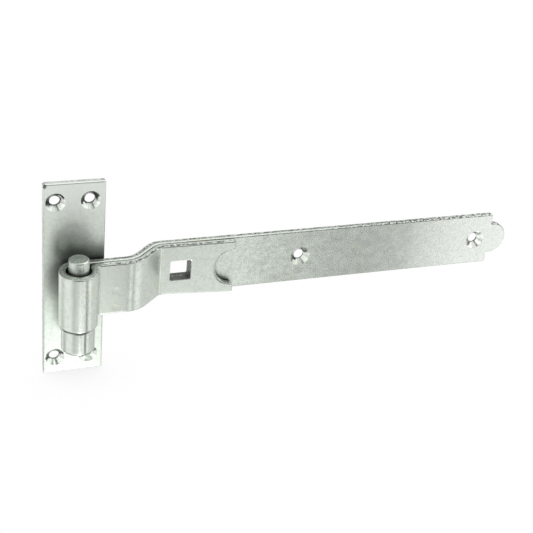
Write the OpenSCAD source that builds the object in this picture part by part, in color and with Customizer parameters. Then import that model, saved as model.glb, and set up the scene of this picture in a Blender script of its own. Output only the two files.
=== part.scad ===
// Cranked hook-and-band gate hinge: a fixed hook on a back plate, and a
// strap whose doubled end is rolled into an eye that drops over the pin.
// Origin: on the plate's back face, behind the pin axis, level with the lower edge of the eye.
// +X runs along the strap, +Y points into the post, +Z is up.

/* [Pin and boss] */
// Diameter of the hinge pin
pin_d = 12; // [10:0.5:13]
// Height of the pin above the top of the eye
pin_rise = 7.6; // [3:0.2:20]
// Depth of the pin in the boss
pin_seat = 12; // [8:0.5:13]
// Rounding of the pin's upper rim
pin_round = 1.2; // [0.4:0.1:2]
// Diameter of the boss that carries the pin
boss_d = 20; // [17:0.5:21]
// Height of the boss
boss_h = 17.2; // [15:0.1:22]
// Chamfer around the top of the boss
boss_chamfer = 1.6; // [0.4:0.1:2]
// Rounding around the bottom of the boss
boss_round = 2.2; // [1:0.1:3]
// Width of the web that joins the boss to the plate
web_w = 11; // [8:0.5:13]
// Distance of the web from the top and the bottom of the boss
web_inset = 3.2; // [3.1:0.1:4]
// Free height between the boss and the eye
thrust_gap = 0.3; // [0.2:0.05:0.8]

/* [Back plate] */
// Width of the back plate
plate_w = 36; // [34:0.5:50]
// Height of the back plate
plate_h = 127; // [120:1:160]
// Thickness of the back plate
plate_t = 4.5; // [4:0.1:6]
// Height of the eye's lower edge above the bottom of the plate
plate_drop = 41.7; // [38:0.1:50]
// Space between the eye and the plate
plate_gap = 1.4; // [0.5:0.1:3]
// Distance between the two columns of screw holes
screw_pitch_x = 20.2; // [19:0.1:22]
// Sideways offset of the screw holes from the pin axis
screw_shift_x = -0.9; // [-1.5:0.1:1.5]
// Distance from the top edge to the upper screw holes
screw_inset_top = 11.6; // [9:0.1:16]
// Distance from the bottom edge to the lower screw holes
screw_inset_bottom = 10.8; // [9:0.1:12]
// Diameter of the plate's screw holes
screw_hole_d = 6.2; // [5:0.1:6.6]
// Diameter of the plate's countersinks
screw_sink_d = 11.4; // [10:0.1:12]

/* [Strap] */
// Width of the strap
strap_w = 36; // [32:0.5:40]
// Length of the strap from the pin axis to the tip
strap_len = 300; // [295:1:400]
// Thickness of the flat bar
bar_t = 4.2; // [4:0.1:5]
// Inner radius of the eye
eye_r = 7.4; // [7:0.1:8]
// Inner radius of the neck where the eye closes
neck_r = 1.5; // [1:0.1:2]
// Gap between the two layers of the doubled end
layer_gap = 0.3; // [0.2:0.05:0.6]
// Distance from the pin axis to the start of the crank
crank_x = 29.5; // [29:0.5:34]
// Sideways offset that the crank gives the strap
crank_offset = 15.4; // [12:0.1:18]
// Slope of the crank
crank_angle = 43; // [35:1:50]
// Radius of the crank bend next to the eye, between the two layers
crank_eye_r = 16; // [8:0.5:17]
// Radius of the crank bend next to the straight strap, between the two layers
crank_strap_r = 8.5; // [7:0.5:14]
// Angle by which the folded end stands off the strap
fold_lift = 0.9; // [0:0.1:1.5]
// Distance from the pin axis to the end of the folded layer
fold_end_x = 101.8; // [100:0.1:110]
// Height that the folded layer's lower edge gains towards the neck
waist_rise = 2.2; // [0.5:0.1:3]

/* [Holes in the strap] */
// Side of the square hole for a carriage bolt
square_side = 12.9; // [10:0.1:13]
// Distance from the pin axis to the centre of the square hole
square_x = 67; // [66:0.1:70]
// Height of the square hole's centre above the eye's lower edge
square_z = 18.7; // [17:0.1:20]
// Distance from the pin axis to the first screw hole
middle_hole_x = 148.2; // [125:0.1:180]
// Distance from the pin axis to the last screw hole
end_hole_x = 276.4; // [230:0.1:278]
// Diameter of the strap's screw holes
strap_hole_d = 6.5; // [5:0.1:7]
// Diameter of the strap's countersinks
strap_sink_d = 12.8; // [10:0.1:13]

/* [Cut ends] */
// Radius of the round nose at the tip
nose_r = 11; // [9:0.5:13]
// Length of the nose beyond the shoulders
nose_len = 12.2; // [11:0.1:16]
// Rounding of the corners beside the nose
shoulder_r = 1.5; // [1:0.1:3]
// Radius of the bite in the end of the folded layer
bite_r = 12.2; // [11:0.1:13]
// Rounding of the horns beside the bite
horn_r = 2; // [1:0.1:2.5]

/* [Welds] */
// Leg of the fillet welds between boss and plate
weld_leg = 2.2; // [1.5:0.1:2.5]
// Diameter of the spot welds between the layers
spot_d = 5; // [3:0.5:6]
// Distance from the pin axis to the spot welds
spot_x = 22.5; // [20:0.5:26]
// Heights of the two spot welds above the eye's lower edge
spot_z = [6.5, 18]; // [5:0.5:30]

/* [Hidden] */
$fn = 96;
cut_over = 1;
// Flats that stand for each bend of the bar.
bend_steps = 12;
// Angle in the eye's wall at which the folded layer is rooted.
root_angle = -10;
// Angle by which the neck stops short of the eye's end, so that their outlines cross.
neck_lap = 0.3;
zinc = [0.78, 0.81, 0.78];
bright_zinc = [0.86, 0.88, 0.86];
weld_grey = [0.62, 0.65, 0.62];

eye_out = eye_r + bar_t;
plate_y = eye_out + plate_gap;
post_y = plate_y + plate_t;
boss_r = boss_d / 2;
boss_z = -thrust_gap - boss_h;
web_h = boss_h - 2 * web_inset;
pin_top = strap_w + pin_rise;
mid_z = strap_w / 2;

// Plan of the doubled end: offsets are measured from the line between the layers.
seam_y = eye_r - layer_gap / 2;
inner_off = layer_gap / 2;
outer_off = inner_off + bar_t;
neck_y = seam_y - outer_off - neck_r;
neck_dist = eye_out + neck_r;
neck_x = sqrt(neck_dist * neck_dist - neck_y * neck_y);
neck_angle = atan2(neck_y, neck_x);
bends_r = crank_eye_r + crank_strap_r;
slope_len = (crank_offset - bends_r * (1 - cos(crank_angle))) / sin(crank_angle);
bend_1 = [crank_x, seam_y + crank_eye_r];
bend_2 = bend_1
    + bends_r * [sin(crank_angle), -cos(crank_angle)]
    + slope_len * [cos(crank_angle), sin(crank_angle)];
strap_front_y = bend_2[1] + crank_strap_r + inner_off;
waist_x = square_x - square_side / 2;
shoulder_x = strap_len - nose_len;

// Pieces are drawn about the pin axis, and then stood off in front of the post.
module off_the_post() {
    translate([0, -post_y, 0]) children();
}

// Points along an arc, from one angle to another in degrees.
function arc(centre, r, from, to) = [for (k = [0:bend_steps])
    centre + r * [cos(from + (to - from) * k / bend_steps), sin(from + (to - from) * k / bend_steps)]];

function reversed(points) = [for (k = [1:len(points)]) points[len(points) - k]];

// One side of a layer through the crank, at an offset from the seam.
function crank_side(offset, lift, tail) = concat(
    arc(bend_1, crank_eye_r - offset, -90, crank_angle - 90),
    arc(bend_2, crank_strap_r + offset, 90 + crank_angle, 90 - lift),
    [bend_2 + (crank_strap_r + offset) * [sin(lift), cos(lift)] + tail * [cos(lift), -sin(lift)]]
);

// One side of the folded layer, from the eye round the neck to the free end.
function folded_side(offset) = concat(
    arc([neck_x, neck_y], neck_r + outer_off + offset, 180 + neck_angle - neck_lap, 90),
    crank_side(offset, fold_lift, fold_end_x - bend_2[0] + cut_over)
);

// Plan of the layer against the gate, which runs the whole length.
module back_layer_plan() {
    tail = strap_len - bend_2[0];
    polygon(concat(
        [[0, seam_y + inner_off]],
        crank_side(inner_off, 0, tail),
        reversed(crank_side(outer_off, 0, tail)),
        [[0, seam_y + outer_off]]
    ));
}

// Plan of the eye, a ring that is open between the neck and the back layer.
module eye_plan() {
    difference() {
        circle(r = eye_out);
        circle(r = eye_r);
        polygon([
            [0, 0],
            2 * eye_out * [cos(neck_angle), sin(neck_angle)],
            2 * eye_out * [1, 1],
            [0, 2 * eye_out]
        ]);
    }
}

// Plan of the folded layer, rooted in the middle of the eye's wall.
module folded_layer_plan() {
    root = (eye_r + bar_t / 2) * [cos(root_angle), sin(root_angle)];
    polygon(concat([root], folded_side(-outer_off), reversed(folded_side(-inner_off))));
}

// Prism along Y from an outline drawn in X and Z.
module through_y(from, to) {
    translate([0, to, 0]) rotate([90, 0, 0]) linear_extrude(to - from) children();
}

// Square corner left over outside a rounding, with its corner at the origin.
module corner_waste(r) {
    difference() {
        translate([-r, 0]) square(r);
        translate([-r, r]) circle(r = r);
    }
}

// What the shears take away around the nose, as an outline in X and Z.
module tip_outline() {
    difference() {
        translate([shoulder_x, -cut_over]) square([nose_len + cut_over, strap_w + 2 * cut_over]);
        translate([strap_len - nose_r, mid_z]) circle(r = nose_r);
    }
    translate([shoulder_x, 0]) corner_waste(shoulder_r);
    translate([shoulder_x, strap_w]) mirror([0, 1]) corner_waste(shoulder_r);
}

// Waste at a horn: between the bite, the end face and a rounding that touches both.
module horn_waste() {
    rise = sqrt(pow(bite_r + horn_r, 2) - pow(horn_r, 2));
    difference() {
        polygon([[0, 0], [-horn_r, rise], [cut_over, rise]]);
        translate([-horn_r, rise]) circle(r = horn_r);
    }
}

// What is missing beyond the folded layer's end, as an outline in X and Z.
module bite_outline() {
    translate([fold_end_x, -cut_over]) square([bite_r, strap_w + 2 * cut_over]);
    translate([fold_end_x, mid_z]) {
        circle(r = bite_r);
        horn_waste();
        mirror([0, 1]) horn_waste();
    }
}

// What is missing along the folded layer's lower edge, as an outline in X and Z.
module waist_outline() {
    polygon([
        [eye_out, -cut_over],
        [eye_out, 0],
        [neck_x + neck_r, waist_rise],
        [waist_x, waist_rise],
        [fold_end_x, 0],
        [fold_end_x, -cut_over]
    ]);
}

// Screw hole with a 90 degree countersink, bored along +Y from the origin.
module sunk_hole(hole_d, sink_d, thickness) {
    sink_h = (sink_d - hole_d) / 2;
    rotate([-90, 0, 0]) {
        translate([0, 0, -cut_over]) cylinder(d = hole_d, h = thickness + 2 * cut_over);
        cylinder(d1 = sink_d, d2 = hole_d, h = sink_h);
        translate([0, 0, -cut_over]) cylinder(d = sink_d, h = cut_over);
    }
}

// Flat plate with four countersunk screw holes, screwed to the post.
module mounting_plate() {
    low_z = screw_inset_bottom - plate_drop;
    high_z = plate_h - plate_drop - screw_inset_top;
    color(zinc) off_the_post() difference() {
        translate([-plate_w / 2, plate_y, -plate_drop]) cube([plate_w, plate_t, plate_h]);
        for (side = [-1, 1], z = [low_z, high_z])
            translate([screw_shift_x + side * screw_pitch_x / 2, plate_y, z])
                sunk_hole(screw_hole_d, screw_sink_d, plate_t);
    }
}

// Half section of the boss, drawn from the axis outwards and up from its bottom.
module boss_section() {
    difference() {
        square([boss_r, boss_h]);
        translate([boss_r, 0]) corner_waste(boss_round);
        translate([boss_r, boss_h]) rotate(45) square(sqrt(2) * boss_chamfer, center = true);
    }
}

// Round boss with a flat web behind it, bored for the pin.
module pin_boss() {
    color(zinc) off_the_post() translate([0, 0, boss_z]) difference() {
        union() {
            rotate_extrude() boss_section();
            translate([-web_w / 2, 0, web_inset]) cube([web_w, plate_y, web_h]);
        }
        translate([0, 0, boss_h - pin_seat]) cylinder(d = pin_d, h = pin_seat + cut_over);
    }
}

// Section of a fillet weld in the corner between web and plate.
module weld_section() {
    difference() {
        square(weld_leg);
        translate([weld_leg, weld_leg]) circle(r = weld_leg);
    }
}

// Fillet welds down both sides of the web.
module boss_weld() {
    color(weld_grey) off_the_post() for (side = [0, 1])
        mirror([side, 0, 0])
            translate([web_w / 2, plate_y, boss_z + web_inset])
                mirror([0, 1, 0]) linear_extrude(web_h) weld_section();
}

// Half section of the pin, with its upper rim rounded.
module pin_section(length) {
    r = pin_d / 2;
    square([r, length - pin_round]);
    square([r - pin_round, length]);
    translate([r - pin_round, length - pin_round]) circle(r = pin_round);
}

// Pin pressed into the boss, standing up through the eye.
module hinge_pin() {
    foot_z = -thrust_gap - pin_seat;
    color(bright_zinc) off_the_post() translate([0, 0, foot_z])
        rotate_extrude() pin_section(pin_top - foot_z);
}

// One flat bar: strap, crank, eye and the end folded back over it.
module strap() {
    color(zinc) off_the_post() difference() {
        union() {
            difference() {
                linear_extrude(strap_w) back_layer_plan();
                through_y(0, strap_front_y + bar_t + cut_over) tip_outline();
            }
            linear_extrude(strap_w) eye_plan();
            difference() {
                linear_extrude(strap_w) folded_layer_plan();
                through_y(-cut_over, strap_front_y) bite_outline();
                through_y(-cut_over, strap_front_y) waist_outline();
            }
        }
        translate([square_x - square_side / 2, 0, square_z - square_side / 2])
            cube([square_side, strap_front_y + bar_t + cut_over, square_side]);
        for (x = [middle_hole_x, end_hole_x])
            translate([x, strap_front_y, mid_z]) sunk_hole(strap_hole_d, strap_sink_d, bar_t);
    }
}

// Small weld nuggets that tie the two layers together beside the eye.
module spot_welds() {
    color(weld_grey) off_the_post() for (z = spot_z)
        translate([spot_x, seam_y - inner_off, z])
            rotate([-90, 0, 0]) cylinder(d = spot_d, h = layer_gap);
}

mounting_plate();
pin_boss();
boss_weld();
hinge_pin();
strap();
spot_welds();
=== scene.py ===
"""Cranked hook-and-band gate hinge: the visible pieces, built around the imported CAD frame.

Lengths are in millimetres and are turned into Blender's metres when a mesh is made.
+X runs along the strap, +Y into the post, +Z up.
"""
import math
from collections import namedtuple

import bmesh
import bpy
from mathutils import Euler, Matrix, Vector, geometry, kdtree, noise


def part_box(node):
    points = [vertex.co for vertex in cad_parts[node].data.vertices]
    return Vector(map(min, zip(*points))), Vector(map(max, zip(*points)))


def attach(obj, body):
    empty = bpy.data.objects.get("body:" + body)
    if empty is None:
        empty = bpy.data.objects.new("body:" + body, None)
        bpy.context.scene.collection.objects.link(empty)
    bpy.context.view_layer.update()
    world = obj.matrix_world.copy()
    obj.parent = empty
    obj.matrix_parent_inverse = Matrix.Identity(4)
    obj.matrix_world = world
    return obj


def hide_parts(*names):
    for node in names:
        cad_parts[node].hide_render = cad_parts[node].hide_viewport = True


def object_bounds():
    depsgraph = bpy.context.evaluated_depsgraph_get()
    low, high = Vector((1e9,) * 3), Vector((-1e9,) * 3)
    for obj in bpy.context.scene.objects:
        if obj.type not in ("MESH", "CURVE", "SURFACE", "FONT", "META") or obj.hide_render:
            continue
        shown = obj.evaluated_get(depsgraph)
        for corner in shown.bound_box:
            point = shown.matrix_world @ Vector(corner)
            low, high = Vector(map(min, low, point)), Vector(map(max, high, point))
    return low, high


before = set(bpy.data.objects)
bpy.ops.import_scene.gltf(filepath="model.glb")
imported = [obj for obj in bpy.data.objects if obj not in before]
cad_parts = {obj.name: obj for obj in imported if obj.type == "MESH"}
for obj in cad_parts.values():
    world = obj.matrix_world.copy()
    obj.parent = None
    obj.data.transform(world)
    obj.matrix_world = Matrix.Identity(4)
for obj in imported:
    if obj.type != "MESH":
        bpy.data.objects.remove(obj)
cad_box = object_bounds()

MM = 0.001


# ---------------------------------------------------------------- sizes

def box_mm(node):
    """Lowest and highest corner of a CAD node, in millimetres."""
    low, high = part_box(node)
    return Vector(low) / MM, Vector(high) / MM


plate_low, plate_high = box_mm("mounting_plate")
boss_low, boss_high = box_mm("pin_boss")
pin_low, pin_high = box_mm("hinge_pin")
band_low, band_high = box_mm("strap")
weld_low, weld_high = box_mm("boss_weld")

PIN_Y = (pin_low.y + pin_high.y) / 2
PIN_R = (pin_high.x - pin_low.x) / 2
BOSS_R = boss_high.x
BAR_W = band_high.z - band_low.z
MID_Z = (band_high.z + band_low.z) / 2

# Band: the same driving dimensions as the CAD model.
BAR_T = 4.2
EYE_R = 7.4
NECK_R = 1.5
LAYER_GAP = 0.3
CRANK_X = 29.5
CRANK_OFFSET = 15.4
CRANK_ANGLE = math.radians(43)
CRANK_EYE_R = 16.0
CRANK_STRAP_R = 8.5
FOLD_LIFT = math.radians(0.9)
FOLD_END_X = 101.8
WAIST_RISE = 2.2
SQUARE_X = 67.0
SQUARE_Z = 18.7
SQUARE_SIDE = 12.9
SCREW_X = (148.2, 276.4)
SCREW_R = 3.25
SCREW_SINK_R = 6.4
NOSE_R = 11.0
NOSE_LEN = 12.2
BITE_R = 12.2
HORN_R = 2.0
SPOT_X = 22.5
SPOT_Z = (6.5, 18.0)
SPOT_R = 2.5

# Band: finer shape of its outline, its pressed marks, its rolled bite and its weld nuggets.
SHOULDER_CORNER = 1.4
FOLD_CORNER = 1.0
SQUARE_CORNER = 0.6
NOSE_FILLET = 0.6
WAIST_X = 60.5
WAIST_BLEND = 3
WAIST_ROUND = 9
WAIST_LEAD = 1.5
WAIST_TRAIL = 1
MARK_R = 2.3
MARK_RIM = 1.0
MARK_DEPTH = 0.03
BITE_ROLL = 3.5
SPOT_EDGE = (0.2, 0.08)

# Hook: plate holes, boss and web.
PLATE_HOLE_X = (-11.0, 9.2)
PLATE_HOLE_Z = (plate_low.z + 10.8, plate_high.z - 11.6)
PLATE_HOLE_R = 3.1
PLATE_SINK_R = 5.7
PLATE_CORNER = 0.7
PLATE_WORN_CORNER = 1.3
BOSS_CHAMFER = 1.6
BOSS_ROUND = 2.2
PIN_SEAT = 12.0
PIN_ROUND = 1.2
PIN_CROWN = 0.10
WEB_W = 11.0
WEB_INSET = 3.2
WEB_ROUND = 0.5
WELD_LEG = 2.2

# Mesh densities: spacings in millimetres, and steps round an arc or a circle.
EDGE_STEP = 0.8
GRID_Z = 1.8
PLATE_GRID = 3.0
FLAT_SKIP = 4
TURNS = 96
HOLE_STEPS = 56
NOSE_STEPS = 56
BITE_STEPS = 34
HORN_STEPS = 8
SPOT_TURNS = 32


# ---------------------------------------------------------------- mesh tools

def new_piece(name, verts, faces, body, nodes):
    """Make an object from millimetre vertices, and hang it on its body in place of its CAD node."""
    mesh = bpy.data.meshes.new(name)
    mesh.from_pydata([Vector(v) * MM for v in verts], [], faces)
    tidy = bmesh.new()
    tidy.from_mesh(mesh)
    bmesh.ops.recalc_face_normals(tidy, faces=tidy.faces)
    tidy.to_mesh(mesh)
    tidy.free()
    mesh.shade_smooth()
    piece = bpy.data.objects.new(name, mesh)
    bpy.context.scene.collection.objects.link(piece)
    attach(piece, body)
    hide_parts(*nodes)
    return piece


def crisp(piece, angle=40):
    """Shade flats flat and fillets round."""
    piece.data.set_sharp_from_angle(angle=math.radians(angle))
    weighted = piece.modifiers.new("crisp", "WEIGHTED_NORMAL")
    weighted.keep_sharp = True


def arc(cx, cy, r, start, end, steps):
    """Points on an arc, from one angle to another in degrees."""
    angles = [math.radians(start + (end - start) * k / steps) for k in range(steps + 1)]
    return [(cx + r * math.cos(a), cy + r * math.sin(a)) for a in angles]


def round_corners(corners):
    """Outline from (x, y, radius) corners: each corner with a radius becomes an arc."""
    points = []
    count = len(corners)
    for k, (x, y, r) in enumerate(corners):
        here = Vector((x, y))
        if r == 0:
            points.append((x, y))
            continue
        back = (Vector(corners[k - 1][:2]) - here).normalized()
        ahead = (Vector(corners[(k + 1) % count][:2]) - here).normalized()
        half = back.angle(ahead) / 2
        reach = r / math.tan(half)
        centre = here + (back + ahead).normalized() * (r / math.sin(half))
        first = here + back * reach - centre
        sweep = first.angle_signed(here + ahead * reach - centre)
        steps = max(3, int(abs(sweep) * r / 0.35))
        for j in range(steps + 1):
            turn = -sweep * j / steps
            c, s = math.cos(turn), math.sin(turn)
            points.append((centre.x + first.x * c - first.y * s, centre.y + first.x * s + first.y * c))
    return points


def resample(points, step, places):
    """Cut long runs of an outline at the places along x, or at an even step where it runs across."""
    result = []
    for k, start in enumerate(points):
        a, b = Vector(start), Vector(points[(k + 1) % len(points)])
        result.append(tuple(a))
        run = b - a
        if run.length <= step:
            continue
        if abs(run.x) > abs(run.y):
            low, high = sorted((a.x, b.x))
            cuts = [(x - a.x) / run.x for x in places if low + step / 3 < x < high - step / 3]
        else:
            pieces = math.ceil(run.length / step)
            cuts = [j / pieces for j in range(1, pieces)]
        result += [tuple(a + run * t) for t in sorted(cuts)]
    return result


def inward(points):
    """Mitred normals that point left of the direction of travel, into the metal."""
    normals = []
    for k, here in enumerate(points):
        before, after = Vector(points[k - 1]), Vector(points[(k + 1) % len(points)])
        one = (Vector(here) - before).normalized()
        two = (after - Vector(here)).normalized()
        left_one, left_two = Vector((-one.y, one.x)), Vector((-two.y, two.x))
        normals.append((left_one + left_two) / max(0.5, 1 + left_one.dot(left_two)))
    return normals


# Rows of a cut edge: (position through the bar from 0 to 1, distance into the metal,
# roughness of the row, finish). Finish is -1 where machined bright, 0 on the flats,
# 1 where torn and 1.5 where torn and dark throughout.
# Finishes between about 0.05 and 0.45 give the rounded rows a grey that is partly the edge's own and partly
# painted shade.
SHEARED = (
    (0.00, 0.80, 0.00, 0.0),
    (0.00, 0.72, 0.00, 0.0),
    (0.012, 0.50, 0.00, 0.3),
    (0.04, 0.29, 0.01, 0.8),
    (0.09, 0.13, 0.01, 0.6),
    (0.16, 0.03, 0.01, 0.5),
    (0.26, 0.00, 0.02, 0.5),
    (0.40, 0.00, 0.02, 0.5),
    (0.48, 0.03, 0.05, 0.7),
    (0.55, 0.06, 0.10, 1.0),
    (0.65, 0.07, 0.12, 1.05),
    (0.75, 0.09, 0.12, 1.1),
    (0.85, 0.10, 0.12, 1.1),
    (0.92, 0.14, 0.08, 1.0),
    (0.965, 0.28, 0.03, 0.5),
    (0.99, 0.52, 0.01, 0.2),
    (1.00, 0.85, 0.00, 0.0),
    (1.00, 1.05, 0.00, 0.0),
)
# The same rows where the bite's punch has drawn the front edge down in a soft roll; their finishes spread
# the grey painted shade over the roll.
ROLLED = SHEARED[:12] + (
    (0.80, 0.04, 0.03, 0.6),
    (0.86, 0.16, 0.01, 0.5),
    (0.915, 0.42, 0.00, 0.4),
    (0.975, 1.05, 0.00, 0.25),
    (1.00, 1.80, 0.00, 0.0),
    (1.00, 2.05, 0.00, 0.0),
)
PUNCHED = (
    (0.00, 0.80, 0.00, 0.0),
    (0.00, 0.45, 0.00, 0.0),
    (0.02, 0.20, 0.00, 0.3),
    (0.07, 0.05, 0.00, 1.0),
    (0.15, 0.00, 0.01, 1.3),
    (0.40, 0.00, 0.02, 1.3),
    (0.50, 0.04, 0.05, 1.5),
    (0.70, 0.06, 0.06, 1.5),
    (0.90, 0.08, 0.05, 1.5),
    (0.98, 0.16, 0.02, 0.8),
    (1.00, 0.32, 0.00, 0.0),
    (1.00, 0.70, 0.00, 0.0),
)


def countersunk(hole_r, sink_r, thickness):
    """Rows of a drilled and countersunk hole, from the countersink's rim to the far side."""
    depth = (sink_r - hole_r) / thickness
    wide = sink_r - hole_r
    rows = [(0.0, wide + 0.25, 0.0, 0.0), (0.0, wide + 0.1, 0.0, 0.0)]
    for k in range(7):
        share = k / 6
        rows.append((0.02 + (depth - 0.02) * share, wide * (1 - share), 0.0, -1.0))
    rows += [(depth + 0.02, 0.0, 0.0, 1.3), (0.95, 0.0, 0.01, 1.5)]
    rows += [(0.985, 0.05, 0.0, 0.3), (1.0, 0.18, 0.0, 0.0), (1.0, 0.6, 0.0, 0.0)]
    return rows


def in_hole(point, hole):
    """True inside a convex hole outline, whose metal lies on the left of travel."""
    x, y = point
    if not min(p[0] for p in hole) < x < max(p[0] for p in hole):
        return False
    for k, (bx, by) in enumerate(hole):
        ax, ay = hole[k - 1]
        if (bx - ax) * (y - ay) - (by - ay) * (x - ax) > 0:
            return False
    return True


def across_hole(triangle, hole_of):
    """True for a triangle that spans a hole: all its corners lie on that one hole's rim."""
    numbers = {hole_of.get(k, 0) for k in triangle}
    return len(numbers) == 1 and numbers != {0}


def edge_row(row, plain, outline, normals, rolls, number):
    """One row of a cut edge: (place on the flat, share of the thickness, finish) for each point."""
    for (x, y), normal, roll in zip(outline, normals, rolls):
        soft = ROLLED[row] if roll else plain
        through, inset, rough, finish = (a + (b - a) * roll for a, b in zip(plain, soft))
        jitter = noise.noise(Vector((x * 0.9, y * 0.9, row * 0.8 + number * 9)))
        wander = noise.noise(Vector((x * 0.16, y * 0.16, number * 5 + 40)))
        share = through
        if 0.3 < through < 0.9:
            share += 0.10 * wander + 0.03 * jitter
        reach = inset + rough * jitter + 0.5 * rough
        yield Vector((x, y)) + normal * reach, share, finish


def fill_flat(rim, owner, grid, hole_count):
    """Triangles between the rims of one flat side, over the grid points that lie in the metal.

    rim: the places of all the rims' points. owner: which loop each belongs to, 0 being the
    outline. Returns the points, each one's rim point if it has one, and the triangles.
    """
    tree = kdtree.KDTree(len(rim))
    for k, spot in enumerate(rim):
        tree.insert((spot.x, spot.y, 0), k)
    tree.balance()
    holes = [[tuple(p) for p, n in zip(rim, owner) if n == hole] for hole in range(1, hole_count + 1)]
    metal = [p for p in grid if not any(in_hole(p, hole) for hole in holes)]
    inner = [p for p in metal if tree.find((p[0], p[1], 0))[2] > EDGE_STEP * 0.6]
    fence = []
    for number in range(hole_count + 1):
        first, count = owner.index(number), owner.count(number)
        fence += [(first + k, first + (k + 1) % count) for k in range(count)]
    points = rim + [Vector(p) for p in inner]
    out, _, triangles, origin, _, _ = geometry.delaunay_2d_cdt(points, fence, [], 1, 1e-5)
    on_rim = {k: sources[0] for k, sources in enumerate(origin) if sources and sources[0] < len(rim)}
    hole_of = {k: owner[source] for k, source in on_rim.items()}
    return out, on_rim, [t for t in triangles if not across_hole(t, hole_of)]


def sheet(loops, grid, thickness, place, marks=(), rolled=None):
    """Closed mesh of a flat bar with cut edges.

    loops: (outline, rows) pairs, with metal on the left of travel. grid: points inside the metal.
    place: turns (along, up, height above the bar's middle) into a point. marks: centres of
    shallow round marks pressed into the far side. rolled: gives how far an outline point takes
    its edge rows from ROLLED, from 0 to 1. Returns vertices, faces and the finish at each vertex.
    """
    verts, finishes, faces, owner = [], [], [], []
    rims, spots = ([], []), ([], [])
    for number, (outline, rows) in enumerate(loops):
        normals = inward(outline)
        count, start = len(outline), len(verts)
        rolls = [rolled(p) if rolled and rows is SHEARED else 0.0 for p in outline]
        for row, plain in enumerate(rows):
            for spot, share, finish in edge_row(row, plain, outline, normals, rolls, number):
                verts.append(place(spot.x, spot.y, thickness * (0.5 - share)))
                finishes.append(finish)
                if row in (0, len(rows) - 1):
                    spots[row > 0].append(spot)
        faces += ring_faces(start, count, len(rows))
        owner += [number] * count
        for side, row in enumerate((0, len(rows) - 1)):
            rims[side].extend(start + row * count + k for k in range(count))
    for side, height in enumerate((thickness / 2, -thickness / 2)):
        out, on_rim, triangles = fill_flat(spots[side], owner, grid, len(loops) - 1)
        known = {k: rims[side][source] for k, source in on_rim.items()}
        used = {k for triangle in triangles for k in triangle}
        for k in sorted(used - set(known)):
            known[k] = len(verts)
            depth = sum(mark_depth(out[k], mark) for mark in marks) if side else 0.0
            verts.append(place(out[k].x, out[k].y, height + depth))
            finishes.append(0.0)
        faces.extend(tuple(known[k] for k in triangle) for triangle in triangles)
    return verts, faces, finishes


def mark_depth(point, mark):
    """Depth of a pressed mark at a point: a flat floor with a sloping rim."""
    away = (Vector(point) - Vector(mark)).length
    share = min(1.0, max(0.0, (MARK_R - away) / MARK_RIM))
    return MARK_DEPTH * share * share * (3 - 2 * share)


def mark_rings(mark):
    """Mesh points around a pressed mark."""
    rings = [(mark[0], mark[1])]
    for k in range(1, 7):
        rings += arc(mark[0], mark[1], MARK_R * k / 5, 0, 345, 11 + 2 * k)
    return rings


def keep_finish(piece, finish):
    """Keep the finish on the mesh, where the material reads it."""
    layer = piece.data.attributes.new("finish", "FLOAT", "POINT")
    layer.data.foreach_set("value", finish)


def ring_faces(start, count, rows):
    """Faces of a tube: rows of count vertices each, that follow one another from a start."""
    faces = []
    for row in range(rows - 1):
        near, far = start + row * count, start + (row + 1) * count
        for k in range(count):
            after = (k + 1) % count
            faces.append((near + k, near + after, far + after, far + k))
    return faces


def lathe(section, centre_y, turns=TURNS):
    """Closed turned shape: section runs from the axis out, up and back to the axis as (r, z)."""
    verts = []
    for r, z in section[1:-1]:
        for k in range(turns):
            a = 2 * math.pi * k / turns
            verts.append((r * math.cos(a), centre_y + r * math.sin(a), z))
    rings = len(section) - 2
    faces = ring_faces(0, turns, rings)
    for ring, (r, z) in ((0, section[0]), (rings - 1, section[-1])):
        pole = len(verts)
        verts.append((0, centre_y, z))
        faces += [(ring * turns + k, ring * turns + (k + 1) % turns, pole) for k in range(turns)]
    return verts, faces


def gather(shapes):
    """Put several (vertices, faces) shapes into one."""
    verts, faces = [], []
    for some, more in shapes:
        faces += [tuple(k + len(verts) for k in face) for face in more]
        verts += some
    return verts, faces


# ---------------------------------------------------------------- band

# A run or bend of the bar: the distance along the bar, the place and the heading at its start,
# and its curve, which is 0 for a run.
Leg = namedtuple("Leg", "start x y heading curve")

# Which legs of band_line() are the bend at the neck and the run that follows it.
NECK_LEG = 6
FLAT_LEG = 7


class BarLine:
    """Middle line of the bar in plan, walked as straight runs and bends."""

    def __init__(self, x, y, heading):
        self.x, self.y, self.heading = x, y, heading
        self.length = 0.0
        self.legs = []

    def step(self, length, curve):
        self.legs.append(Leg(self.length, self.x, self.y, self.heading, curve))
        self.x, self.y, self.heading = self.walk(self.legs[-1], length)
        self.length += length

    def run(self, length):
        self.step(length, 0.0)

    def bend(self, radius, angle):
        """Bend to the left, or to the right where the angle is negative."""
        self.step(radius * abs(angle), math.copysign(1 / radius, angle))

    @staticmethod
    def walk(leg, distance):
        """Place and heading at a distance from the start of a leg."""
        heading, curve = leg.heading, leg.curve
        if curve == 0:
            return leg.x + distance * math.cos(heading), leg.y + distance * math.sin(heading), heading
        after = heading + distance * curve
        x = leg.x + (math.sin(after) - math.sin(heading)) / curve
        y = leg.y - (math.cos(after) - math.cos(heading)) / curve
        return x, y, after

    def leg_at(self, s):
        for leg in reversed(self.legs):
            if s >= leg.start:
                return leg
        return self.legs[0]

    def place(self, s, z, height):
        """Point at a distance along the line, a height up the band and an offset to its left."""
        leg = self.leg_at(s)
        x, y, heading = self.walk(leg, s - leg.start)
        return Vector((x - height * math.sin(heading), y + height * math.cos(heading), z))


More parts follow.
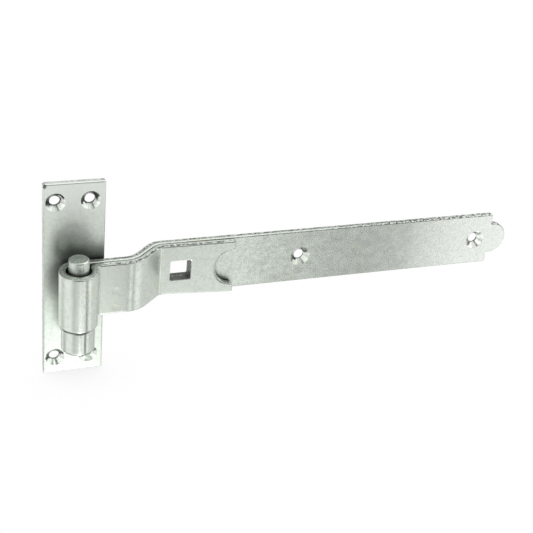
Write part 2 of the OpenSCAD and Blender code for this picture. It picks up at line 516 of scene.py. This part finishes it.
def band_line():
    """From the tip along the strap, round the eye and the neck, to the end folded back."""
    layer = (BAR_T + LAYER_GAP) / 2
    seam = EYE_R - LAYER_GAP / 2
    eye = EYE_R + BAR_T / 2
    neck = NECK_R + BAR_T / 2
    neck_y = seam - layer - neck
    neck_x = math.sqrt((eye + neck) ** 2 - neck_y ** 2)
    neck_turn = math.atan2(neck_y, neck_x)
    bends = CRANK_EYE_R + CRANK_STRAP_R
    slope = (CRANK_OFFSET - bends * (1 - math.cos(CRANK_ANGLE))) / math.sin(CRANK_ANGLE)
    flat_x = CRANK_X + bends * math.sin(CRANK_ANGLE) + slope * math.cos(CRANK_ANGLE)
    line = BarLine(band_high.x, PIN_Y + seam + CRANK_OFFSET + layer, math.pi)
    line.run(band_high.x - flat_x)
    line.bend(CRANK_STRAP_R + layer, CRANK_ANGLE)
    line.run(slope)
    line.bend(CRANK_EYE_R - layer, -CRANK_ANGLE)
    line.run(CRANK_X)
    line.bend(eye, math.pi * 1.5 + neck_turn)
    line.bend(neck, -math.pi / 2 - neck_turn)
    line.run(CRANK_X - neck_x)
    line.bend(CRANK_EYE_R + layer, CRANK_ANGLE)
    line.run(slope)
    line.bend(CRANK_STRAP_R - layer, -CRANK_ANGLE - FOLD_LIFT)
    line.run((FOLD_END_X - line.x) / math.cos(FOLD_LIFT))
    return line


def fold_s(line, x):
    """Distance along the bar of a place on the folded end."""
    return line.length - (FOLD_END_X - x) / math.cos(FOLD_LIFT)


def band_outline(line):
    """Outline of the flat blank: along the lower edge from the tip, and back along the upper edge."""
    end = line.length
    neck_start = line.legs[NECK_LEG].start
    neck_end = line.legs[FLAT_LEG].start
    nose_half = math.sqrt(NOSE_R ** 2 - (NOSE_LEN - NOSE_R) ** 2)
    horn_z = math.sqrt((BITE_R + HORN_R) ** 2 - HORN_R ** 2)
    horn_turn = math.degrees(math.atan2(horn_z, HORN_R))
    nose_turn = math.degrees(math.atan2(nose_half, NOSE_LEN - NOSE_R))
    lower_horn = arc(end - HORN_R, MID_Z - horn_z, HORN_R, 0, horn_turn, HORN_STEPS)
    bite = arc(end, MID_Z, BITE_R, 180 + horn_turn, 180 - horn_turn, BITE_STEPS)
    upper_horn = arc(end - HORN_R, MID_Z + horn_z, HORN_R, -horn_turn, 0, HORN_STEPS)
    nose = arc(NOSE_R, MID_Z, NOSE_R, nose_turn, 360 - nose_turn, NOSE_STEPS)
    corners = [(NOSE_LEN, 0, SHOULDER_CORNER), (neck_start - WAIST_LEAD, 0, WAIST_BLEND)]
    corners.append((neck_end - WAIST_TRAIL, WAIST_RISE, WAIST_BLEND))
    corners += [(fold_s(line, WAIST_X), WAIST_RISE, WAIST_ROUND), (end, 0, FOLD_CORNER)]
    corners += [(x, y, 0) for x, y in lower_horn + bite[1:-1] + upper_horn]
    corners += [(end, BAR_W, FOLD_CORNER), (NOSE_LEN, BAR_W, SHOULDER_CORNER)]
    corners.append((NOSE_LEN, MID_Z + nose_half, NOSE_FILLET))
    corners += [(x, y, 0) for x, y in nose[1:-1]]
    corners.append((NOSE_LEN, MID_Z - nose_half, NOSE_FILLET))
    return round_corners(corners)


def stations(line):
    """Cuts across the bar, and the wider spaced ones that are enough for its straight runs."""
    fine = [k * EDGE_STEP for k in range(1, int(line.length / EDGE_STEP))]
    wide = [s for k, s in enumerate(fine) if k % FLAT_SKIP == 0 or line.leg_at(s).curve != 0]
    return fine, wide


def circle_loop(x, y, r):
    """Hole outline, with the metal on the left of travel."""
    return arc(x, y, r, 360, 360 / HOLE_STEPS, HOLE_STEPS - 1)


def square_loop(x, y):
    """Outline of the bolt hole, with the metal on the left of travel."""
    half = SQUARE_SIDE / 2
    signs = ((-1, -1), (-1, 1), (1, 1), (1, -1))
    return round_corners([(x + half * a, y + half * b, SQUARE_CORNER) for a, b in signs])


def press_marks(line):
    """Centres of the marks that the welding electrode leaves on the folded layer."""
    flat = line.legs[FLAT_LEG]
    return [(flat.start + SPOT_X - flat.x, z) for z in SPOT_Z]


def mark_near(s, z, mark):
    """True where a mark has mesh points of its own."""
    return math.hypot(s - mark[0], z - mark[1]) < MARK_R * 1.35


def bite_roll(line):
    """How far the edge is rolled at a point: fully round the bite, and not at its horns."""
    def rolled(point):
        away = math.hypot(point[0] - line.length, point[1] - MID_Z)
        if away > BITE_R + 0.1:
            return 0.0
        share = min(1.0, max(0.0, (BITE_R - abs(point[1] - MID_Z)) / BITE_ROLL))
        return share * share * (3 - 2 * share)
    return rolled


def make_band():
    """Strap, crank, eye and folded end, as one bar."""
    line = band_line()
    fine, wide = stations(line)
    loops = [(resample(band_outline(line), EDGE_STEP, fine), SHEARED)]
    for s in (band_high.x - SQUARE_X, fold_s(line, SQUARE_X)):
        loops.append((resample(square_loop(s, SQUARE_Z), EDGE_STEP, fine), PUNCHED))
    for x in SCREW_X:
        hole = circle_loop(band_high.x - x, MID_Z, SCREW_R)
        loops.append((hole, countersunk(SCREW_R, SCREW_SINK_R, BAR_T)))
    rows = [GRID_Z * k for k in range(1, int(BAR_W / GRID_Z))]
    marks = press_marks(line)
    grid = [(s, z) for s in wide for z in rows if not any(mark_near(s, z, mark) for mark in marks)]
    for mark in marks:
        grid += mark_rings(mark)
    verts, faces, finishes = sheet(loops, grid, BAR_T, line.place, marks, bite_roll(line))
    band = new_piece("band", verts, faces, "band", ["strap"])
    keep_finish(band, finishes)
    crisp(band)
    return band


# ---------------------------------------------------------------- hook

def make_plate():
    """Flat plate with four countersunk holes."""
    width, thickness, height = plate_high - plate_low
    middle = (plate_high.y + plate_low.y) / 2
    corners = [(plate_low.x, plate_low.z, PLATE_CORNER), (plate_high.x, plate_low.z, PLATE_CORNER)]
    corners += [(plate_high.x, plate_high.z, PLATE_CORNER), (plate_low.x, plate_high.z, PLATE_WORN_CORNER)]
    cuts = [plate_low.x + EDGE_STEP * k for k in range(1, round(width / EDGE_STEP))]
    loops = [(resample(round_corners(corners), EDGE_STEP, cuts), SHEARED)]
    for x in PLATE_HOLE_X:
        for z in PLATE_HOLE_Z:
            hole = circle_loop(x, z, PLATE_HOLE_R)
            loops.append((hole, countersunk(PLATE_HOLE_R, PLATE_SINK_R, thickness)))
    columns = [plate_low.x + PLATE_GRID * k for k in range(1, round(width / PLATE_GRID))]
    rows = [plate_low.z + PLATE_GRID * k for k in range(1, round(height / PLATE_GRID))]
    grid = [(x, z) for x in columns for z in rows]
    verts, faces, finishes = sheet(loops, grid, thickness, lambda x, z, h: Vector((x, middle - h, z)))
    plate = new_piece("back_plate", verts, faces, "hook", ["mounting_plate"])
    keep_finish(plate, finishes)
    crisp(plate)
    return plate


def boss_section():
    """Half section of the bored boss, from its bottom centre round to the bottom of the bore."""
    low, high = boss_low.z, boss_high.z
    section = [(0, low), (BOSS_R * 0.5, low)]
    section += arc(BOSS_R - BOSS_ROUND, low + BOSS_ROUND, BOSS_ROUND, -90, 0, 8)
    section += [(BOSS_R, z) for z in (low + 2.6, (low + high) / 2, high - BOSS_CHAMFER - 0.3)]
    section += [(BOSS_R - 0.05, high - BOSS_CHAMFER), (BOSS_R - BOSS_CHAMFER, high - 0.08)]
    section += [(BOSS_R - BOSS_CHAMFER - 0.25, high), (PIN_R + 0.5, high), (PIN_R + 0.12, high - 0.1)]
    section += [(PIN_R, high - 0.3), (PIN_R, high - PIN_SEAT), (0, high - PIN_SEAT)]
    return section


def web_block():
    """Rounded block between the boss and the plate."""
    low, high = boss_low.z + WEB_INSET, boss_high.z - WEB_INSET
    block = bmesh.new()
    bmesh.ops.create_cube(block, size=1)
    depth = plate_low.y - PIN_Y - PIN_R - 1
    for vert in block.verts:
        x = vert.co.x * WEB_W
        y = plate_low.y - depth / 2 + vert.co.y * depth
        vert.co = Vector((x, y, (low + high) / 2 + vert.co.z * (high - low)))
    bmesh.ops.bevel(block, geom=block.edges[:], offset=WEB_ROUND, segments=3, profile=0.5, affect="EDGES")
    verts = [tuple(v.co) for v in block.verts]
    index = {v: k for k, v in enumerate(block.verts)}
    faces = [tuple(index[v] for v in face.verts) for face in block.faces]
    block.free()
    return verts, faces


def join(piece, verts, faces):
    """Unite another closed shape with a piece."""
    mesh = bpy.data.meshes.new("tool")
    mesh.from_pydata([Vector(v) * MM for v in verts], [], faces)
    tool = bpy.data.objects.new("tool", mesh)
    bpy.context.scene.collection.objects.link(tool)
    union = piece.modifiers.new("union", "BOOLEAN")
    union.operation = "UNION"
    union.solver = "EXACT"
    union.object = tool
    graph = bpy.context.evaluated_depsgraph_get()
    united = bpy.data.meshes.new_from_object(piece.evaluated_get(graph))
    piece.modifiers.clear()
    piece.data = united
    bpy.data.objects.remove(tool)


def make_boss():
    """Bored boss with the web that carries it on the plate."""
    verts, faces = lathe(boss_section(), PIN_Y)
    boss = new_piece("turned_boss", verts, faces, "hook", ["pin_boss"])
    join(boss, *web_block())
    boss.data.shade_smooth()
    crisp(boss, 50)
    return boss


def make_pin():
    """Pin with a rounded rim and the shallow crown that a cropping tool leaves."""
    r, top, low = PIN_R - 0.01, pin_high.z, pin_low.z
    side_ring = top - 12
    section = [(0, low + 0.02), (r - 0.6, low + 0.02), (r, low + 0.6), (r, side_ring), (r, top - PIN_ROUND)]
    section += arc(r - PIN_ROUND, top - PIN_ROUND, PIN_ROUND, 10, 80, 7)
    crown = [(r - PIN_ROUND) * (1 - k / 9) for k in range(1, 9)]
    section += [(x, top - 0.02 - PIN_CROWN + PIN_CROWN * math.cos(math.pi * x / r)) for x in crown]
    section.append((0, top - 0.02))
    verts, faces = lathe(section, PIN_Y)
    wavy = []
    for x, y, z in verts:
        if z > top - 0.5:
            z += 0.05 * noise.noise(Vector((x * 0.5, y * 0.5, 3))) - 0.03
        wavy.append((x, y, z))
    pin = new_piece("round_pin", wavy, faces, "hook", ["hinge_pin"])
    crisp(pin, 50)
    return pin


def weld_bead(side):
    """Rippled fillet bead in the corner between the web and the plate."""
    corner_x, corner_y = side * WEB_W / 2, plate_low.y
    low, high = weld_low.z, weld_high.z
    rows, across = 60, 9
    verts = []
    for k in range(rows + 1):
        share = k / rows
        z = low + (high - low) * share
        taper = min(1.0, math.sqrt(max(0.0, math.sin(math.pi * share))) * 1.25)
        ripple = 0.10 * abs(math.sin(share * math.pi * 9)) + 0.05 * noise.noise(Vector((0, side, z)))
        leg = max(0.25, (WELD_LEG - 0.15) * taper)
        verts.append((corner_x - side * 0.3, corner_y + 0.3, z))
        for j in range(across):
            a = math.pi / 2 * j / (across - 1)
            flat = leg * (1 - j / (across - 1)), leg * j / (across - 1)
            swell = (0.35 * math.sin(2 * a) + ripple * math.sin(2 * a)) * taper
            x = corner_x + side * (flat[0] + swell * 0.5)
            y = corner_y - flat[1] - swell * 0.5
            verts.append((x, y, z))
    ring = across + 1
    faces = [tuple(range(ring)), tuple(rows * ring + j for j in range(ring))]
    return verts, faces + ring_faces(0, ring, rows + 1)


def make_welds():
    """Beads on both sides of the web."""
    verts, faces = gather(weld_bead(side) for side in (-1, 1))
    weld = new_piece("boss_weld_beads", verts, faces, "hook", ["boss_weld"])
    crisp(weld, 60)
    return weld


def nugget(height):
    """Flat round weld in the gap between the layers, at a height up the band."""
    low = PIN_Y + EYE_R - LAYER_GAP
    inset, rise = SPOT_EDGE
    section = [(0, 0), (SPOT_R - inset, 0), (SPOT_R, rise), (SPOT_R, LAYER_GAP - rise)]
    section += [(SPOT_R - inset, LAYER_GAP), (0, LAYER_GAP)]
    verts, faces = lathe(section, 0, SPOT_TURNS)
    return [(SPOT_X + x, low + up, height + y) for x, y, up in verts], faces


def make_spots():
    """Nuggets that tie the folded end to the strap."""
    verts, faces = gather(nugget(z) for z in SPOT_Z)
    spots = new_piece("spot_weld_nuggets", verts, faces, "band", ["spot_welds"])
    crisp(spots, 60)
    return spots


# ---------------------------------------------------------------- materials

ZINC_TINT = (0.70, 0.75, 0.69)
BOSS_TINT = (0.66, 0.71, 0.65)
WELD_TINT = (0.52, 0.55, 0.52)
# Dark pits of torn metal, and painted shade in gaps.
PIT_AND_SHADE_TONE = (0.035, 0.04, 0.035, 1)
# Painted shade where something stands close.
PAINTED_SHADE = (0.05, 0.055, 0.05, 1)
# A duller stretch of the strap, and partly painted shade on rounded edges.
DULL_AND_EDGE_SHADE = (0.20, 0.22, 0.20, 1)
SCRATCHED = (0.30, 0.32, 0.30, 1)
# Painted light.
PAINTED_LIGHT = (0.90, 0.94, 0.89, 1)


class Nodes:
    """Short way to fill an empty node tree, in a material or a world."""

    def __init__(self, owner):
        owner.use_nodes = True
        self.tree = owner.node_tree
        self.tree.nodes.clear()

    def put(self, node, name, value):
        """Link a socket to an input, or set the input's value."""
        if isinstance(value, bpy.types.NodeSocket):
            self.tree.links.new(value, node.inputs[name])
        else:
            node.inputs[name].default_value = value

    def add(self, kind, inputs=None, **settings):
        node = self.tree.nodes.new(kind)
        for name, value in settings.items():
            setattr(node, name, value)
        for name, value in (inputs or {}).items():
            self.put(node, name, value)
        return node

    def math(self, operation, a, b=0.0):
        return self.add("ShaderNodeMath", {0: a, 1: b}, operation=operation).outputs[0]

    def times(self, a, b):
        return self.math("MULTIPLY", a, b)

    def plus(self, a, b):
        return self.math("ADD", a, b)

    def minus(self, a, b):
        return self.math("SUBTRACT", a, b)

    def ramp(self, value, low, high, to_low=0.0, to_high=1.0):
        """Smooth step of a value between two limits."""
        inputs = {"Value": value, "From Min": low, "From Max": high, "To Min": to_low, "To Max": to_high}
        return self.add("ShaderNodeMapRange", inputs, interpolation_type="SMOOTHSTEP").outputs[0]

    def noise(self, where, scale, detail=3.0, roughness=0.5, distortion=0.0):
        inputs = {"Vector": where, "Scale": scale, "Detail": detail, "Roughness": roughness,
                  "Distortion": distortion}
        return self.add("ShaderNodeTexNoise", inputs).outputs["Fac"]

    def mix(self, share, one, two):
        """Colour between two colours."""
        return self.add("ShaderNodeMix", {0: share, 6: one, 7: two}, data_type="RGBA").outputs[2]

    def open_sky(self, reach, samples):
        """1 in the open, and less where something stands within the reach."""
        inputs = {"Distance": reach * MM}
        return self.add("ShaderNodeAmbientOcclusion", inputs, samples=samples).outputs["AO"]

    def axes(self, vector):
        return self.add("ShaderNodeSeparateXYZ", {"Vector": vector}).outputs


def hair_lines(nodes, where, scale, width):
    """Fine curved scratches: the thin bands where a noise crosses its middle value."""
    field = nodes.noise(where, scale, 2.0, 0.5, 0.8)
    line = nodes.ramp(nodes.math("ABSOLUTE", nodes.minus(field, 0.5)), 0.0, width, 1.0, 0.0)
    gate = nodes.ramp(nodes.noise(where, scale * 1.3 + 0.03, 1.0), 0.46, 0.60)
    return nodes.times(line, gate)


def clouded(nodes, where, tint, wear, mottle, scratch):
    """Colour of the plating: light and dark clouds, straw in places, and scratches."""
    light = (tint[0] * 1.05, tint[1] * 1.05, tint[2] * 1.05, 1)
    dark = (tint[0] * 0.80, tint[1] * 0.82, tint[2] * 0.81, 1)
    straw = (tint[0] * 0.98, tint[1] * 0.92, tint[2] * 0.74, 1)
    colour = nodes.mix(nodes.times(nodes.ramp(mottle, 0.32, 0.70), wear), light, dark)
    cloud = nodes.noise(where, 0.06, 3, 0.55)
    colour = nodes.mix(nodes.times(nodes.ramp(cloud, 0.58, 0.75), 0.35), colour, straw)
    return nodes.mix(nodes.times(scratch, 0.30 * wear), colour, SCRATCHED)


def dull_stretch(nodes, where, along, start, stop):
    """1 between two places along the piece, with wavy ends, and 0 beyond them."""
    wavy = nodes.plus(along, nodes.times(nodes.noise(where, 0.05, 4), 14))
    return nodes.times(nodes.ramp(wavy, start, start + 26), nodes.ramp(wavy, stop, stop + 9, 1.0, 0.0))


def torn_pits(nodes, where, along, finish):
    """Dark pits on torn edges: fewest beside the eye, and most near the tip."""
    near_tip = nodes.times(nodes.ramp(along, 150, 245, 0.0, 0.6), nodes.ramp(finish, 0.2, 0.3))
    broken = nodes.plus(finish, near_tip)
    chips = nodes.plus(nodes.noise(where, 0.50, 4, 0.65, 0.4), nodes.ramp(finish, 1.1, 1.5, 0.0, 0.3))
    pits = nodes.times(nodes.ramp(broken, 0.5, 0.95), nodes.ramp(chips, 0.46, 0.54))
    return nodes.times(pits, nodes.ramp(along, 8, 24, 0.4, 1.0))


def chipped(nodes, where, centre, grain):
    """1 inside a small ragged chip round a point."""
    away = nodes.add("ShaderNodeVectorMath", {0: where, 1: centre}, operation="DISTANCE").outputs["Value"]
    return nodes.ramp(nodes.plus(away, nodes.times(grain, 1.2)), 1.5, 2.1, 1.0, 0.0)


def painted_light_ramp(nodes, colour, axes, axis, start, stop):
    """Colour with painted light, turning brighter from one place along an axis to another."""
    return nodes.mix(nodes.times(nodes.ramp(axes[axis], start, stop), 0.7), colour, PAINTED_LIGHT)


def painted_shade_near(nodes, colour, axes, depth):
    """Colour with painted shade where something stands close, except low down on the piece."""
    shade = nodes.ramp(nodes.open_sky(38, 16), 0.48, 0.95, depth, 0.0)
    return nodes.mix(nodes.times(shade, nodes.ramp(axes["Z"], -2, 30)), colour, PAINTED_SHADE)


def fine_relief(nodes, mottle, grain, scratch, pits):
    """Normal of the faint relief that the clouds, grain, scratches and pits leave."""
    relief = nodes.plus(nodes.times(mottle, 0.5), nodes.times(grain, 0.18))
    relief = nodes.minus(relief, nodes.times(scratch, 0.25))
    relief = nodes.minus(relief, nodes.times(pits, 1.2))
    inputs = {"Height": relief, "Strength": 0.3, "Distance": 0.08 * MM}
    return nodes.add("ShaderNodeBump", inputs).outputs[0]


def two_coats(nodes, skin, shine, satin_share):
    """Metal that is part bright and part satin."""
    bright = nodes.add("ShaderNodeBsdfPrincipled", dict(skin, Roughness=shine))
    satin = nodes.add("ShaderNodeBsdfPrincipled", dict(skin, Roughness=nodes.plus(shine, 0.28)))
    both = nodes.add("ShaderNodeMixShader", {0: satin_share, 1: bright.outputs[0], 2: satin.outputs[0]})
    nodes.add("ShaderNodeOutputMaterial", {"Surface": both.outputs[0]})


def zinc(name, tint, rough, wear, satin_share=0.45, dull=None, painted_light=None, chip=None, painted_shade=0.0):
    """Bright zinc plating: clouded, lightly scratched, dark where the metal is torn, with painted shade in
    gaps.

    rough: roughness of the bright coat. wear: strength of the clouds and scratches. satin_share:
    share of a softer reflection. dull: (from x, to x) of a duller stretch. painted_light: (axis,
    from, to) over which painted light makes it brighter. chip: centre of a small dark chip.
    painted_shade: how dark the painted shade is where something stands close.
    """
    material = bpy.data.materials.new(name)
    nodes = Nodes(material)
    place = nodes.add("ShaderNodeTexCoord").outputs["Object"]
    where = nodes.add("ShaderNodeMapping", {"Vector": place, "Scale": (1000, 1000, 1000)}).outputs[0]
    axes = nodes.axes(where)
    finish = nodes.add("ShaderNodeAttribute", attribute_name="finish").outputs["Fac"]
    machined = nodes.ramp(finish, -0.2, -0.8)
    mottle = nodes.noise(where, 0.42, 3, 0.6, 0.2)
    grain = nodes.noise(where, 2.2, 3, 0.6)
    short_lines = hair_lines(nodes, where, 0.30, 0.030)
    long_lines = hair_lines(nodes, where, 0.14, 0.012)
    scratch = nodes.math("MAXIMUM", short_lines, long_lines)

    colour = clouded(nodes, where, tint, wear, mottle, scratch)
    shine = nodes.ramp(mottle, 0.25, 0.8, rough - 0.03, rough + 0.06)
    if dull:
        stretch = dull_stretch(nodes, where, axes["X"], *dull)
        speckle = nodes.ramp(nodes.noise(where, 0.16, 4, 0.6), 0.35, 0.7, 0.03, 0.24)
        speckle = nodes.plus(speckle, nodes.times(scratch, 0.16))
        colour = nodes.mix(nodes.times(stretch, speckle), colour, DULL_AND_EDGE_SHADE)
        shine = nodes.plus(shine, nodes.times(stretch, 0.03))
    # Grey on the rounded edge rows: partly the edge's own darker tone, partly painted shade.
    edge_tone_and_shade = nodes.times(nodes.ramp(finish, 0.05, 0.28), nodes.ramp(finish, 0.35, 0.48, 0.45, 0.0))
    colour = nodes.mix(edge_tone_and_shade, colour, DULL_AND_EDGE_SHADE)
    # Painted light: brighter over a stretch along one axis.
    if painted_light:
        colour = painted_light_ramp(nodes, colour, axes, *painted_light)
    # Painted shade where something stands close.
    if painted_shade:
        colour = painted_shade_near(nodes, colour, axes, painted_shade)

    pits = torn_pits(nodes, where, axes["X"], finish)
    if chip:
        pits = nodes.math("MAXIMUM", pits, chipped(nodes, where, chip, grain))
    # Painted shade in gaps and tight corners; the pits are the torn metal's own dark marks.
    crevice_shade = nodes.ramp(nodes.open_sky(4, 8), 0.36, 0.86, 1.0, 0.0)
    pits_and_shade = nodes.math("MAXIMUM", nodes.times(pits, 0.88), crevice_shade)
    colour = nodes.mix(nodes.times(pits_and_shade, 0.92), colour, PIT_AND_SHADE_TONE)
    shine = nodes.plus(shine, nodes.times(nodes.ramp(finish, 0.4, 1.0), 0.22))
    shine = nodes.minus(shine, nodes.times(machined, 0.06))

    metal = nodes.minus(1.0, nodes.times(pits_and_shade, 0.5))
    normal = fine_relief(nodes, mottle, grain, scratch, pits)
    skin = {"Base Color": colour, "Metallic": metal, "Normal": normal}
    two_coats(nodes, skin, shine, nodes.times(nodes.minus(1.0, machined), satin_share))
    return material


def dress(piece, material):
    piece.data.materials.clear()
    piece.data.materials.append(material)


# ---------------------------------------------------------------- studio

# Camera: place, turn in degrees, focal length, and shift of the picture.
CAMERA_PLACE = (-129.4, -594.6, 375.2)
CAMERA_TURN = (60.114, -5.786, -20.84)
CAMERA_LENS = 79.06
CAMERA_SHIFT = (-0.0345, 0.0284)
SENSOR_WIDTH = 36
CLIP_START = 10

FLOOR_HALF = 3000

# Soft panels of the light tent: (degrees to the right of -Y, degrees up, radius in degrees, level).
PANELS = (
    (-76, -20, 28, 0.80),
    (-60, 28, 28, 1.25),
    (-130, -8, 26, 0.70),
    (90, -28, 24, 0.50),
    (74, 22, 28, 1.25),
    (40, -28, 20, 0.92),
    (-20, -56, 24, 0.70),
    (18, 62, 20, 0.80),
    (120, 64, 34, 1.20),
    (158, -24, 26, 0.60),
    (-168, -24, 26, 0.60),
    (170, 30, 34, 0.42),
)


def direction(azimuth, elevation):
    """Unit vector at an angle to the right of -Y, and at an angle up."""
    a, e = math.radians(azimuth), math.radians(elevation)
    return Vector((math.sin(a) * math.cos(e), -math.cos(a) * math.cos(e), math.sin(e)))


def soft_world():
    """Light tent: brighter below, where the pale floor is, with soft panels all round."""
    world = bpy.data.worlds.new("studio")
    nodes = Nodes(world)
    way = nodes.add("ShaderNodeTexCoord").outputs["Generated"]
    level = nodes.ramp(nodes.axes(way)["Z"], -0.75, -0.05, 0.40, 0.06)
    for azimuth, elevation, radius, strength in PANELS:
        aim = direction(azimuth, elevation)
        near = nodes.add("ShaderNodeVectorMath", {0: way, 1: aim}, operation="DOT_PRODUCT")
        outer, inner = (math.cos(math.radians(radius * share)) for share in (1.35, 0.65))
        level = nodes.plus(level, nodes.ramp(near.outputs["Value"], outer, inner, 0.0, strength))
    seen = nodes.add("ShaderNodeLightPath").outputs["Is Camera Ray"]
    level = nodes.math("MAXIMUM", level, seen)
    light = nodes.add("ShaderNodeBackground", {"Color": (1, 1, 1, 1), "Strength": level})
    nodes.add("ShaderNodeOutputWorld", {"Surface": light.outputs[0]})
    bpy.context.scene.world = world


def stage_card(name, centre, side, up, material):
    """Flat card that belongs to the studio, from its centre to its side and to its top."""
    mesh = bpy.data.meshes.new(name)
    corners = [centre + side * a + up * b for a, b in ((-1, -1), (1, -1), (1, 1), (-1, 1))]
    mesh.from_pydata(corners, [], [(0, 1, 2, 3)])
    mesh.materials.append(material)
    card = bpy.data.objects.new(name, mesh)
    bpy.context.scene.collection.objects.link(card)
    card.visible_shadow = False
    return card


def pale_floor():
    """Plain pale floor under the plate, with a faint painted shadow where something stands close to it."""
    material = bpy.data.materials.new("pale_floor")
    nodes = Nodes(material)
    # Painted shadow: the glow dims where something stands close.
    strength = nodes.ramp(nodes.open_sky(50, 8), 0.0, 0.9, 0.82, 1.0)
    glow = nodes.add("ShaderNodeEmission", {"Color": (1, 1, 1, 1), "Strength": strength})
    nodes.add("ShaderNodeOutputMaterial", {"Surface": glow.outputs[0]})
    half = FLOOR_HALF * MM
    centre = Vector((0, 0, cad_box[0][2]))
    floor = stage_card("floor", centre, Vector((half, 0, 0)), Vector((0, half, 0)), material)
    floor.visible_glossy = False
    floor.visible_diffuse = False


def dark_flag(name, place, aim, half_wide, half_tall, tone):
    """Narrow dark card, unseen itself, whose reflections are the dark lines along the bends."""
    material = bpy.data.materials.new(name)
    material.use_nodes = True
    material.node_tree.nodes["Principled BSDF"].inputs["Base Color"].default_value = (tone, tone, tone, 1)
    centre = Vector(place) * MM
    facing = (Vector(aim) * MM - centre).normalized()
    side = facing.cross(Vector((0, 0, 1))).normalized()
    up = side.cross(facing)
    flag = stage_card(name, centre, side * (half_wide * MM), up * (half_tall * MM), material)
    flag.visible_camera = False


def soft_box(name, place, aim, width, height, level):
    """Soft light with an even level, where 1 is as bright as the floor."""
    data = bpy.data.lights.new(name, "AREA")
    data.shape = "RECTANGLE"
    data.size = width * MM
    data.size_y = height * MM
    data.energy = level * math.pi * data.size * data.size_y
    light = bpy.data.objects.new(name, data)
    light.location = Vector(place) * MM
    light.rotation_euler = (Vector(aim) * MM - light.location).to_track_quat("-Z", "Y").to_euler()
    light.visible_camera = False
    bpy.context.scene.collection.objects.link(light)


def main_camera():
    """Camera in front of the plate, to its left and above it."""
    data = bpy.data.cameras.new("camera")
    data.sensor_width = SENSOR_WIDTH
    data.lens = CAMERA_LENS
    data.shift_x, data.shift_y = CAMERA_SHIFT
    data.clip_start = CLIP_START * MM
    camera = bpy.data.objects.new("camera", data)
    camera.location = Vector(CAMERA_PLACE) * MM
    camera.rotation_euler = Euler([math.radians(a) for a in CAMERA_TURN], "XYZ")
    bpy.context.scene.collection.objects.link(camera)
    bpy.context.scene.camera = camera


# ---------------------------------------------------------------- scene

band = make_band()
plate = make_plate()
boss = make_boss()
pin = make_pin()
weld = make_welds()
spots = make_spots()

# Painted light brightens the strap towards its tip and the plate towards its top.
strap_look = zinc("zinc_strap_look", ZINC_TINT, rough=0.23, wear=0.45, satin_share=0.32,
                  dull=(112, 232), painted_light=("X", 205, 275))
worn_corner = (plate_low.x + 0.8, plate_low.y, plate_high.z - 1.2)
# The plate also takes painted shade where the eye and strap stand close.
plate_look = zinc("zinc_plate_look", ZINC_TINT, rough=0.20, wear=0.4, satin_share=0.8,
                  painted_light=("Z", 56, 86), chip=worn_corner, painted_shade=0.8)
dress(band, strap_look)
dress(plate, plate_look)
dress(boss, zinc("zinc_boss_look", BOSS_TINT, rough=0.18, wear=0.4, satin_share=0.28))
dress(pin, zinc("zinc_pin_look", ZINC_TINT, rough=0.28, wear=0.6))
dress(weld, zinc("weld_look", WELD_TINT, rough=0.42, wear=1.0))
dress(spots, zinc("spot_look", WELD_TINT, rough=0.42, wear=1.0))

soft_world()
pale_floor()
dark_flag("far_flag", (503, -598, -430), (60, -12, 18), half_wide=55, half_tall=260, tone=0.22)
dark_flag("near_flag", (74, -138, -59), (8, -28, 18), half_wide=8, half_tall=40, tone=0.05)
soft_box("key", (75, -890, -1160), (0, -5, 30), width=400, height=750, level=7.2)
main_camera()
bpy.context.scene.view_settings.view_transform = "Standard"
